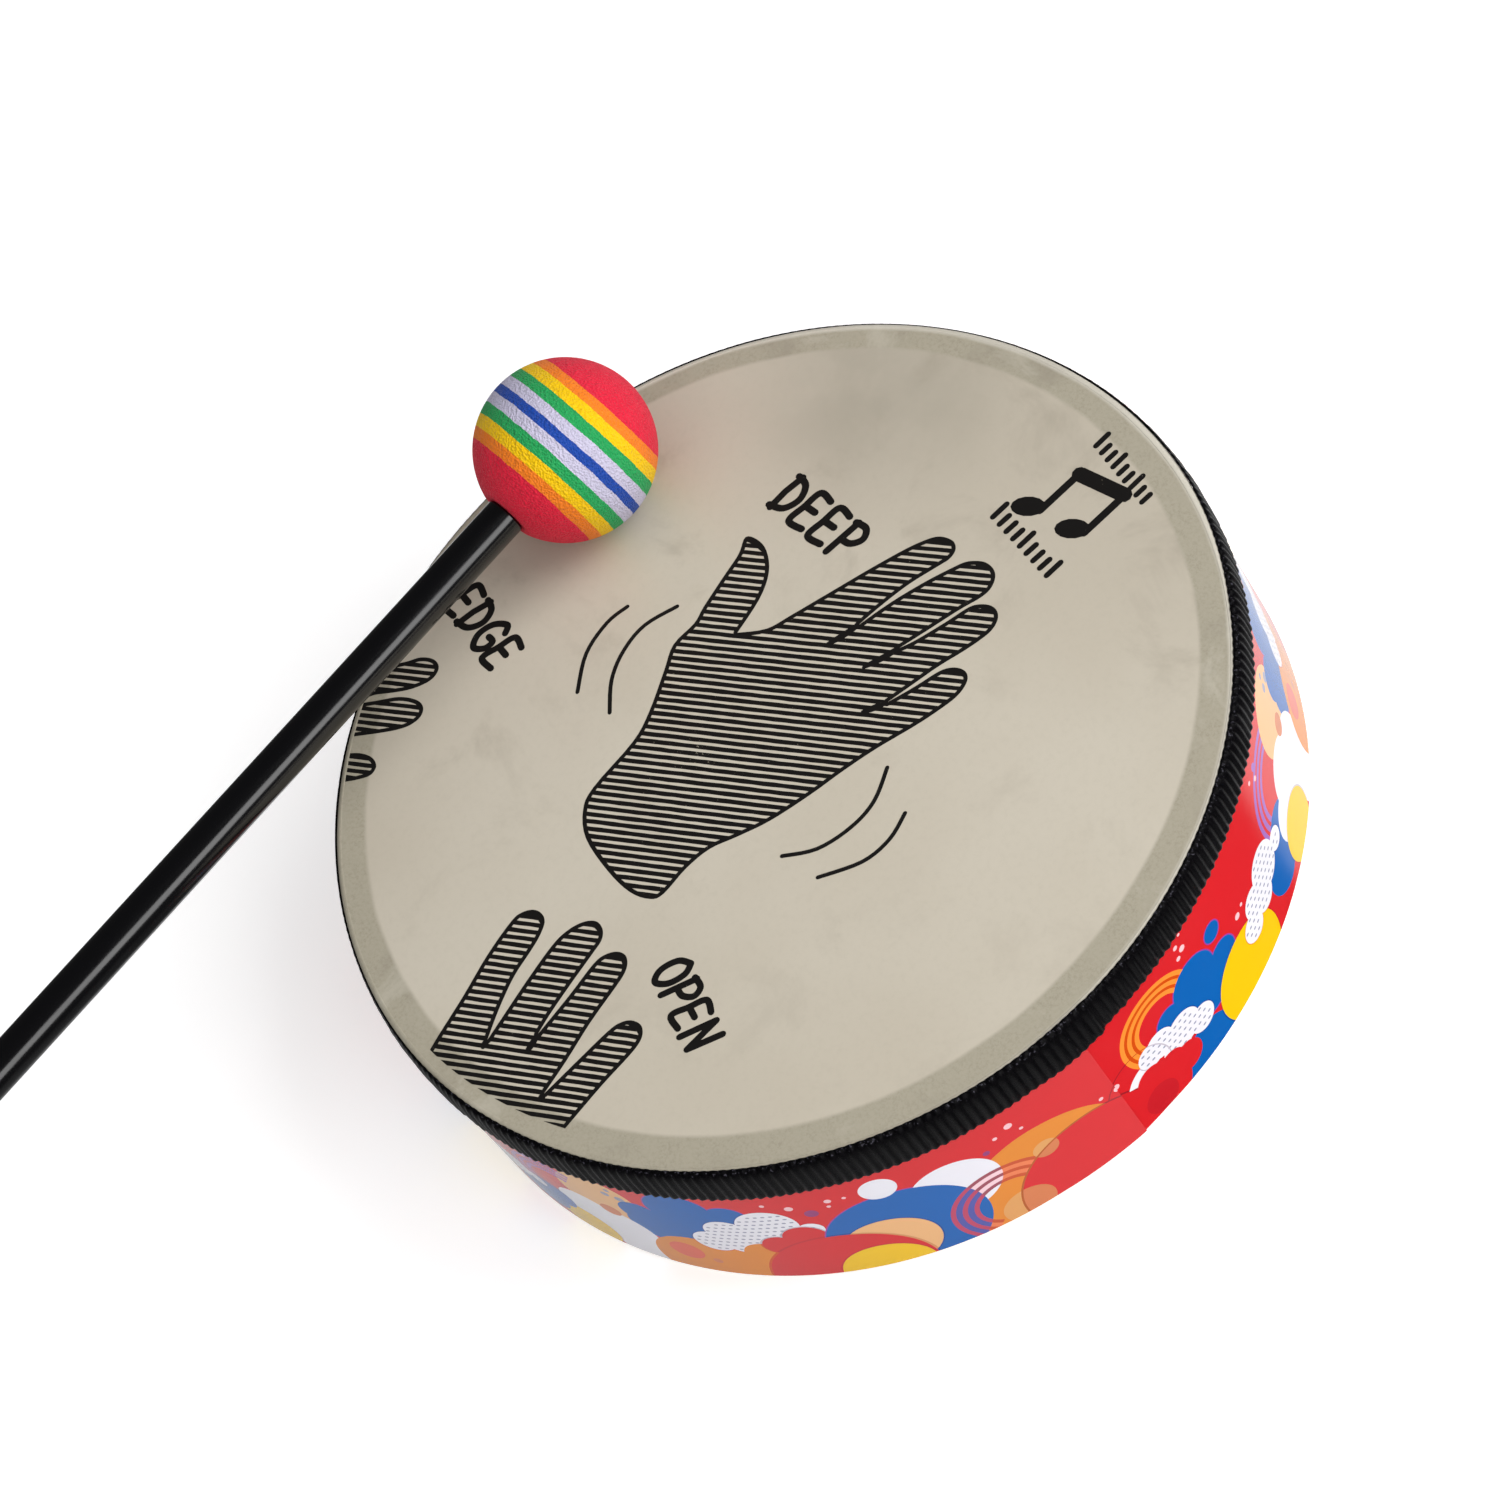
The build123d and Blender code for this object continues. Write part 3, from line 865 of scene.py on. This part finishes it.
def make_wrap():
    """The printed sheet: its pattern outside, its plain back, and its cut edges."""
    pattern = wrap_pattern()
    inks = list(WRAP_INKS)
    page = [(0, WRAP_LOW), (WRAP_TURN, WRAP_LOW), (WRAP_TURN, WRAP_TOP), (0, WRAP_TOP)]
    columns = 300
    across = [WRAP_TURN * i / columns for i in range(columns + 1)]
    lines = [((x, WRAP_LOW), (x, WRAP_TOP)) for x in across[1:-1]]
    flat, triangles, holders = triangulate([page] + [outline for outline, ink in pattern], lines)
    numbers, points, faces, chosen = {}, [], [], []
    for triangle, held in zip(triangles, holders):
        if 0 not in held:
            continue
        ink = "red"
        for number in sorted(held)[1:]:
            over = pattern[number - 1][1]
            ink = over if isinstance(over, str) else over.get(ink, ink)
        for corner in triangle:
            if corner not in numbers:
                numbers[corner] = len(points)
                points.append(on_wrap(*flat[corner]))
        faces.append([numbers[corner] for corner in triangle])
        chosen.append(inks.index(ink))
    # the back, and the cut edges at the top, the bottom and both ends
    start, back = len(points), len(inks)
    for x in across:
        for depth in (0.0, SHEET_THICKNESS):
            points += [on_wrap(x, WRAP_LOW, depth), on_wrap(x, WRAP_TOP, depth)]
    for column in range(columns):
        a, b = start + 4 * column, start + 4 * (column + 1)
        faces += [[a + 2, a + 3, b + 3, b + 2], [a, a + 2, b + 2, b], [a + 1, b + 1, b + 3, a + 3]]
    end = start + 4 * columns
    faces += [[start, start + 1, start + 3, start + 2], [end, end + 2, end + 3, end + 1]]
    chosen += [back] * (len(faces) - len(chosen))
    materials = [gloss_print(f"print_{name}", srgb(*colour)) for name, colour in WRAP_INKS.items()]
    return make_object("shell_wrap", points, faces, materials + [paper_back()], chosen)


# ==== The ribbon ====
RIB_PITCH = 2.65  # the ribbon's sizes are in millimetres and degrees
RIB_HEIGHT = 0.6
RIBBON_SEAM = -1.0
RIBBON_LAP = 5.4  # the ribbon's end lies over this much of its start
RIBBON_WIDTH = 13.5
RIBBON_SLIP = 1.5  # how much lower the ribbon lies on the far side
# The line that the ribbon's back lies along, from below its lower selvedge to its upper one, as the distances
# out from the skirt and up from the head's top. It clears the staples and curls in over the film's bend.
RIBBON_BACK = [
    (0.5, -16.0), (0.5, -12.9), (0.65, -6.5), (0.5, -2.6), (0.12, -0.9), (-0.45, -0.15), (-0.85, 0.03),
]


def make_ribbon():
    """Grosgrain ribbon with its cords as real ridges, its end lapped over its start."""
    rng = random.Random(3)
    rows, per_rib = 17, 8
    line = np.array(curve(RIBBON_BACK, steps=6))
    reach = np.concatenate([[0], np.cumsum(np.linalg.norm(np.diff(line, axis=0), axis=1))])
    v = (1 - np.cos(np.linspace(0, math.pi, rows))) / 2  # closer together at the selvedges
    turn = 360 + RIBBON_LAP
    ribs = round(math.radians(turn) * SKIRT_R / MM / RIB_PITCH)
    columns = ribs * per_rib
    rib_height = [RIB_HEIGHT * rng.uniform(0.8, 1.15) for _ in range(ribs)]
    rib_drop = [rng.uniform(-0.15, 0.15) for _ in range(ribs)]
    # the cords round off into the selvedges
    shoulder = np.minimum(1, np.minimum(v, 1 - v) / 0.06)
    depth = np.sqrt(1 - (1 - shoulder) ** 2)
    points = []
    for column in range(columns + 1):
        rib, step = divmod(min(column, columns - 1), per_rib)
        travel = turn * column / columns
        angle = math.radians(RIBBON_SEAM - RIBBON_LAP + travel)
        crest = math.sin(math.pi * (step + 0.5) / per_rib) ** 1.5
        pressed = 0.5 if travel < RIBBON_LAP else 1.0
        ease = min(1.0, max(0.0, (travel - 354) / 6))
        raised = 0.85 * ease * ease * (3 - 2 * ease) * (1 - 0.5 * v)
        # the lower selvedge wanders up and down, and each cord ends in a small scallop
        sag = 0.1 - 1.2 * math.cos(2 * angle + 1.22) + rib_drop[rib] - 0.15 * crest
        lower = (1 - v) * sag
        upper = v**6 * (0.2 * math.sin(5 * angle + 1) - 0.15 * crest)
        # it lies over the head's edge on the near side, and slips below it on the far side
        far = min(1.0, max(0.0, (abs(math.sin(angle / 2 + 0.09)) - 0.5) / 0.25))
        slip = 0.5 - 0.5 * math.cos(math.pi * far)
        # where its upper part is drawn tight over there, the cords are flatter
        pressed = pressed * (1 - 0.8 * slip * v**2)
        thickness = 0.2 + 0.1 * depth + depth * rib_height[rib] * crest * pressed
        stations = reach[-1] - RIBBON_SLIP * slip - RIBBON_WIDTH * (1 - v)
        back = np.stack([np.interp(stations, reach, line[:, side]) for side in (0, 1)], axis=1)
        slope = np.gradient(back, axis=0)
        slope /= np.linalg.norm(slope, axis=1)[:, None]
        out = np.stack([slope[:, 1], -slope[:, 0]], axis=1)
        for offset, every in ((raised + thickness, 1), (raised, -4)):
            radius = SKIRT_R + (back[:, 0] + out[:, 0] * offset + upper)[::every] * MM
            height = HEAD_TOP + (back[:, 1] + out[:, 1] * offset + lower)[::every] * MM
            points += [(r * math.cos(angle), r * math.sin(angle), z) for r, z in zip(radius, height)]
    per = rows + (rows + 3) // 4
    faces = [list(range(per))[::-1], [columns * per + row for row in range(per)]]
    for column in range(columns):
        a, b = column * per, (column + 1) * per
        for row in range(per):
            above = (row + 1) % per
            faces.append([a + row, b + row, b + above, a + above])
    return make_object("grosgrain_ribbon", points, faces, [ribbon_weave()])


# ==== The film's bend and the foam ball ====
def make_revolved(name, profile, around, material, centre, axis, closed=False):
    """A profile of (out, along) places, turned round an axis. A place on the axis becomes a single point."""
    side = axis.orthogonal().normalized()
    up = axis.cross(side)
    points, rings, faces = [], [], []
    for out, along in profile:
        turns = [2 * math.pi * step / around for step in range(around if out else 1)]
        rings.append([len(points) + step % len(turns) for step in range(around + 1)])
        for turn in turns:
            outwards = side * math.cos(turn) + up * math.sin(turn)
            points.append(centre + axis * along + outwards * out)
    for lower, upper in zip(rings, rings[1:] + rings[:closed]):
        for a, b, c, d in zip(lower, lower[1:], upper[1:], upper):
            faces.append(list(dict.fromkeys((a, b, c, d))))
    return make_object(name, points, faces, [material])


def make_film_bend():
    """The film's bend over the bearing edge, smooth all round, just clear of the CAD film's facets."""
    bend = BEARING_EDGE_R + FILM_THICKNESS
    turned_at = (SHELL_R - BEARING_EDGE_R, HEAD_TOP - bend)
    profile = []
    for radius in (bend - 0.1 * MM, bend + 0.02 * MM):
        side = [(turned_at[0] - 0.2 * MM, turned_at[1] + radius)]
        side += arc_points(turned_at, radius, 90, 0, 11.25)
        side.append((turned_at[0] + radius, HEAD_TOP - 4 * MM))
        profile += side[::-1] if profile else side
    return make_revolved("film_bend", profile, 240, head_film(), Vector(), Vector((0, 0, 1)), closed=True)


def make_ball():
    """A revolved sphere, pressed flat and a little dished where the handle's shoulder meets it."""
    flat = HANDLE_START
    bore, shoulder = 4.2 * MM, 5.9 * MM
    profile = [(0.0, -BALL_R)]
    rings = 72
    for i in range(1, rings):
        angle = math.pi * i / rings
        along, out = -BALL_R * math.cos(angle), BALL_R * math.sin(angle)
        # the foam rounds over into the flat
        limit = flat + 0.2 * MM - 0.9 * MM * max(0.0, 1 - (out / (9.5 * MM))) ** 1.5
        if along > limit - 0.4 * MM and out < 11 * MM:
            along = min(along, limit)
        if out < shoulder and along > 0:
            break
        profile.append((out, along))
    seat, floor = flat - 0.15 * MM, flat - 4 * MM
    profile += [(shoulder, seat), (bore, seat), (bore, floor), (0.0, floor)]
    return make_revolved("striped_foam_ball", profile, 128, striped_foam(), BALL_CENTRE, HANDLE_AXIS)


# ==== Pieces on the frame ====
def give(node, material):
    """Replaces a CAD node's material."""
    mesh = frame["nodes"][node].data
    mesh.materials.clear()
    mesh.materials.append(material)


give("drum_head", head_film())
for layer, light, dark in (
    ("outer_ply", (196, 160, 112), (158, 118, 76)),
    ("core_ply", (170, 132, 90), (134, 98, 62)),
    ("inner_ply", (204, 170, 122), (166, 128, 84)),
    ("bearing_hoop", (190, 152, 104), (148, 110, 70)),
):
    give(layer, laminated_ply(f"{layer}_veneer", srgb(*light), srgb(*dark)))
give("head_staples", staple_steel())
give("beater_handle", black_handle())
give("beater_dowel", turned_wood())
give("beater_end_cap", cap_rubber())

bend = make_film_bend()
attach(bend, "drum")

ink = raise_flat("head_print", head_print(), HEAD_TOP, INK_THICKNESS, printing_ink())
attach(ink, "drum")

wrap = make_wrap()
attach(wrap, "drum")
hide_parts("printed_wrap")

ribbon = make_ribbon()
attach(ribbon, "drum")
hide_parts("edge_ribbon")

ball = make_ball()
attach(ball, "beater")
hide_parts("beater_ball")


# ==== Camera, floor and light ====
CAMERA_AZIMUTH = -9.98  # degrees from +X, seen from above
CAMERA_ELEVATION = 53.4
CAMERA_ROLL = -37.7
CAMERA_DISTANCE = 1.5738
CAMERA_TARGET = Vector((-0.0021, -0.0075, HEAD_TOP))


def towards(azimuth, elevation):
    """A unit vector from angles in degrees, with azimuth from +X."""
    a, e = math.radians(azimuth), math.radians(elevation)
    return Vector((math.cos(a) * math.cos(e), math.sin(a) * math.cos(e), math.sin(e)))


def make_camera():
    camera = bpy.data.objects.new("camera", bpy.data.cameras.new("camera"))
    bpy.context.scene.collection.objects.link(camera)
    camera.data.sensor_width = 36.0
    camera.data.lens = 144.0
    camera.data.clip_start, camera.data.clip_end = 0.05, 20.0
    back = towards(CAMERA_AZIMUTH, CAMERA_ELEVATION)
    camera.location = CAMERA_TARGET + back * CAMERA_DISTANCE
    level = (-back).to_track_quat("-Z", "Y").to_matrix()
    camera.rotation_euler = (level @ Matrix.Rotation(math.radians(CAMERA_ROLL), 3, "Z")).to_euler()
    bpy.context.scene.camera = camera


def add_softbox(name, azimuth, elevation, distance, size, power):
    """A square area light that faces the drum."""
    light = bpy.data.lights.new(name, "AREA")
    light.shape = "SQUARE"
    light.size = size
    light.energy = power
    obj = bpy.data.objects.new(name, light)
    bpy.context.scene.collection.objects.link(obj)
    direction = towards(azimuth, elevation)
    obj.location = CAMERA_TARGET + direction * distance
    obj.rotation_euler = (-direction).to_track_quat("-Z", "Y").to_euler()
    return obj


def make_floor():
    m = new_material("pale_floor")
    m.set(Base_Color=m.mix(m.noise(3, 2), (0.9, 0.9, 0.9, 1), (0.87, 0.87, 0.87, 1)), Roughness=0.9)
    m.set(Specular_IOR_Level=0.1, Emission_Color=(1, 1, 1, 1), Emission_Strength=0.46)
    size = 6.0
    corners = [(-size, -size, 0), (size, -size, 0), (size, size, 0), (-size, size, 0)]
    floor = make_object("floor", corners, [[0, 1, 2, 3]], [m.owner])
    floor.visible_glossy = False
    return floor


def make_world():
    """Even light all round, and two white cards below the horizon, where only gloss sees past the floor."""
    bpy.context.scene.world = bpy.data.worlds.new("studio")
    m = Nodes(bpy.context.scene.world, "Background", "Generated")
    right_card = m.ramp(m.axis("X"), 0.03, 0.13, 1.0, 0.06)
    cards = m.ramp(m.axis("Y"), 0.0, 0.06, 0.5, right_card)
    m.set(Color=(1, 1, 1, 1), Strength=m.ramp(m.axis("Z"), -0.6, -0.3, cards, 0.06))


make_camera()
make_floor()
make_world()
add_softbox("side_softbox", 56, 41, 1.6, 1.0, 16)
add_softbox("front_softbox", 6.6, 26, 1.6, 0.8, 7)
overhead = add_softbox("overhead_softbox", -20, 65, 1.9, 3.2, 32.5)
overhead.visible_glossy = False
bpy.context.scene.view_settings.view_transform = "Standard"
